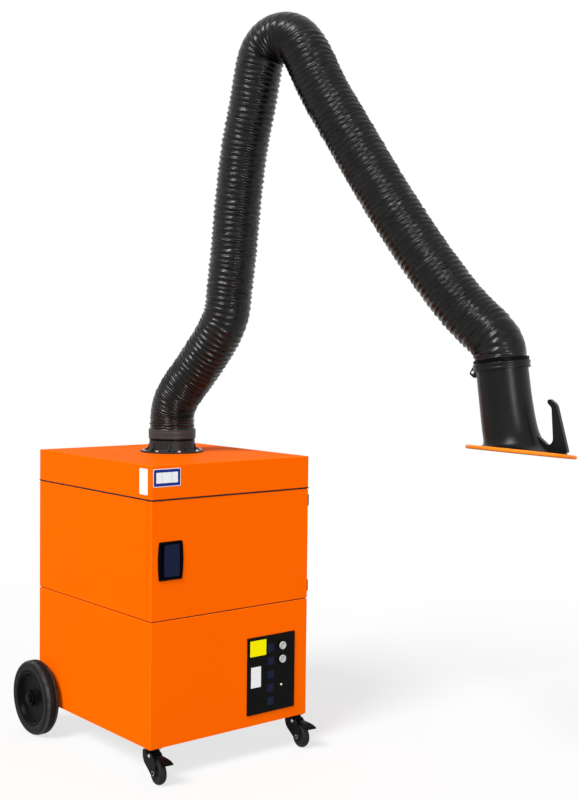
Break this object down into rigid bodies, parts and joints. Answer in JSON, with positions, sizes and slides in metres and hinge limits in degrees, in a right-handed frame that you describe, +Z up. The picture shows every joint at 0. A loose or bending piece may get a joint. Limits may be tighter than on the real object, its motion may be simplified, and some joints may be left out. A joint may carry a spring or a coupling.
{
  "type": "mobile welding fume extractor",
  "caption": "Wheeled sheet-metal filter cabinet with a latched door, controls and a swivelling, folding hose arm that carries a flared fume hood.",
  "frame": {"origin": "middle of the cabinet's underside; the floor lies 105 mm below it", "axes": "+Z up, -Y towards the front with the door and the control panel, +X to the right for someone who faces the front"},
  "size_m": [0.8715, 1.7898, 2.382],
  "materials": {
    "aluminium": "mill finish",
    "black_hose_fabric": "coated fabric with a satin sheen",
    "black_plastic": "moulded, satin",
    "black_rubber": "matt",
    "black_steel": "powder coat, satin",
    "black_tyre": "matt solid rubber",
    "filter_media": "pleated filter paper",
    "galvanised_sheet": "galvanised",
    "green_lens": "clear tinted lens",
    "grey_motor_paint": "motor enamel",
    "light_grey_plastic": "smooth",
    "orange_powder_coat": "smooth semi-gloss powder coat",
    "orange_rubber_trim": "smooth edge trim",
    "zinc_plated_steel": "zinc plated"
  },
  "bodies": {
    "cabinet": {"arm_flange": "black_plastic", "base_floor": "galvanised_sheet", "base_housing": "orange_powder_coat", "cable_gland": "black_plastic", "caster_left_plate": "zinc_plated_steel", "caster_right_plate": "zinc_plated_steel", "control_box": "galvanised_sheet", "control_panel": "black_plastic", "exhaust_grille": "black_steel", "fan_inlet_ring": "galvanised_sheet", "fan_motor": "grey_motor_paint", "filter_frame": "galvanised_sheet", "filter_housing": "orange_powder_coat", "filter_media": "filter_media", "filter_shelf": "galvanised_sheet", "hinge_lower_leaf": "black_steel", "hinge_upper_leaf": "black_steel", "indicator_lamp": "green_lens", "lid": "orange_powder_coat", "lid_gasket": "black_rubber", "motor_mount": "black_steel", "partition_plate": "galvanised_sheet", "push_handle": "black_steel", "rear_axle": "zinc_plated_steel", "spark_screen": "aluminium"},
    "door": {"door_panel": "orange_powder_coat", "door_seal": "black_rubber", "latch_cup": "black_plastic", "hinge_upper_knuckle": "black_steel", "hinge_lower_knuckle": "black_steel"},
    "latch_paddle": {"latch_paddle": "black_plastic"},
    "latch_bolt": {"latch_bolt": "zinc_plated_steel"},
    "start_button": {"start_button": "light_grey_plastic"},
    "stop_button": {"stop_button": "light_grey_plastic"},
    "fan": {"fan_impeller": "aluminium"},
    "rear_left_wheel": {"rear_left_tyre": "black_tyre", "rear_left_rim": "black_plastic"},
    "rear_right_wheel": {"rear_right_tyre": "black_tyre", "rear_right_rim": "black_plastic"},
    "turntable": {"arm_turntable": "black_steel", "hose_clamp": "black_steel"},
    "lower_arm": {"hose_shoulder_bend": "black_hose_fabric", "lower_link": "aluminium", "hose_lower_arm": "black_hose_fabric"},
    "forearm": {"hose_elbow_bend": "black_hose_fabric", "forearm_link": "aluminium", "hose_forearm": "black_hose_fabric"},
    "wrist": {"hose_wrist_bend": "black_hose_fabric", "wrist_ring": "black_plastic"},
    "hood": {"hood_body": "black_plastic", "hood_rim": "orange_rubber_trim", "hood_handle": "black_plastic"},
    "caster_left_swivel": {"caster_left_fork": "black_steel", "caster_left_axle": "zinc_plated_steel"},
    "caster_left_wheel": {"caster_left_wheel": "black_rubber"},
    "caster_left_pedal": {"caster_left_pedal": "black_steel"},
    "caster_right_swivel": {"caster_right_fork": "black_steel", "caster_right_axle": "zinc_plated_steel"},
    "caster_right_wheel": {"caster_right_wheel": "black_rubber"},
    "caster_right_pedal": {"caster_right_pedal": "black_steel"}
  },
  "joints": [
    {"name": "door_hinge", "type": "hinge", "parent": "cabinet", "child": "door", "pos_m": [0.3165, -0.338, 0.3915], "axis": [0, 0, 1], "range_deg": [0, 115]},
    {"name": "latch_paddle_hinge", "type": "hinge", "parent": "door", "child": "latch_paddle", "pos_m": [-0.2092, -0.3458, 0.573], "axis": [0, 0, 1], "range_deg": [0, 35], "stiffness_Nm_per_rad": 0.3},
    {"name": "latch_bolt_slide", "type": "slide", "parent": "door", "child": "latch_bolt", "axis": [1, 0, 0], "range_m": [0, 0.01]},
    {"name": "start_button_push", "type": "slide", "parent": "cabinet", "child": "start_button", "axis": [0, 1, 0], "range_m": [0, 0.004], "stiffness_N_per_m": 600},
    {"name": "stop_button_push", "type": "slide", "parent": "cabinet", "child": "stop_button", "axis": [0, 1, 0], "range_m": [0, 0.004], "stiffness_N_per_m": 600},
    {"name": "fan_spin", "type": "hinge", "parent": "cabinet", "child": "fan", "pos_m": [0, 0.02, 0.2915], "axis": [0, 0, 1], "continuous": true},
    {"name": "rear_left_wheel_spin", "type": "hinge", "parent": "cabinet", "child": "rear_left_wheel", "pos_m": [-0.35, 0.3, 0.021], "axis": [1, 0, 0], "continuous": true},
    {"name": "rear_right_wheel_spin", "type": "hinge", "parent": "cabinet", "child": "rear_right_wheel", "pos_m": [0.35, 0.3, 0.021], "axis": [1, 0, 0], "continuous": true},
    {"name": "caster_left_swivel_turn", "type": "hinge", "parent": "cabinet", "child": "caster_left_swivel", "pos_m": [-0.284, -0.322, 0], "axis": [0, 0, 1], "continuous": true},
    {"name": "caster_left_wheel_spin", "type": "hinge", "parent": "caster_left_swivel", "child": "caster_left_wheel", "pos_m": [-0.28839, -0.36377, -0.0675], "axis": [0.9945, -0.1045, 0], "continuous": true},
    {"name": "caster_left_brake_pedal", "type": "hinge", "parent": "caster_left_swivel", "child": "caster_left_pedal", "pos_m": [-0.28672, -0.34786, -0.0215], "axis": [0.9945, -0.1045, 0], "range_deg": [-12, 0]},
    {"name": "caster_right_swivel_turn", "type": "hinge", "parent": "cabinet", "child": "caster_right_swivel", "pos_m": [0.284, -0.322, 0], "axis": [0, 0, 1], "continuous": true},
    {"name": "caster_right_wheel_spin", "type": "hinge", "parent": "caster_right_swivel", "child": "caster_right_wheel", "pos_m": [0.27961, -0.36377, -0.0675], "axis": [0.9945, -0.1045, 0], "continuous": true},
    {"name": "caster_right_brake_pedal", "type": "hinge", "parent": "caster_right_swivel", "child": "caster_right_pedal", "pos_m": [0.28128, -0.34786, -0.0215], "axis": [0.9945, -0.1045, 0], "range_deg": [-12, 0]},
    {"name": "arm_swivel", "type": "hinge", "parent": "cabinet", "child": "turntable", "pos_m": [0.028, 0.041, 0.866], "axis": [0, 0, 1], "range_deg": [-180, 180]},
    {"name": "shoulder", "type": "hinge", "parent": "turntable", "child": "lower_arm", "pos_m": [0.06423, -0.09423, 1.176], "axis": [-0.9659, -0.2588, 0], "range_deg": [-50, 30], "deforming": ["hose_shoulder_bend"]},
    {"name": "elbow", "type": "hinge", "parent": "lower_arm", "child": "forearm", "pos_m": [0.13541, -0.35986, 2.224], "axis": [0.9659, 0.2588, 0], "range_deg": [-95, 25], "deforming": ["hose_elbow_bend"]},
    {"name": "wrist_tilt", "type": "hinge", "parent": "forearm", "child": "wrist", "pos_m": [0.34329, -1.13569, 1.236], "axis": [0.9659, 0.2588, 0], "range_deg": [-45, 45], "deforming": ["hose_wrist_bend"]},
    {"name": "hood_turn", "type": "hinge", "parent": "wrist", "child": "hood", "pos_m": [0.34552, -1.14401, 1.17056], "axis": [-0.0338, 0.1261, 0.9914], "range_deg": [-180, 180]}
  ],
  "couplings": [
    {"joint": "latch_bolt_slide", "follows": "latch_paddle_hinge", "m_per_rad": 0.01636}
  ]
}
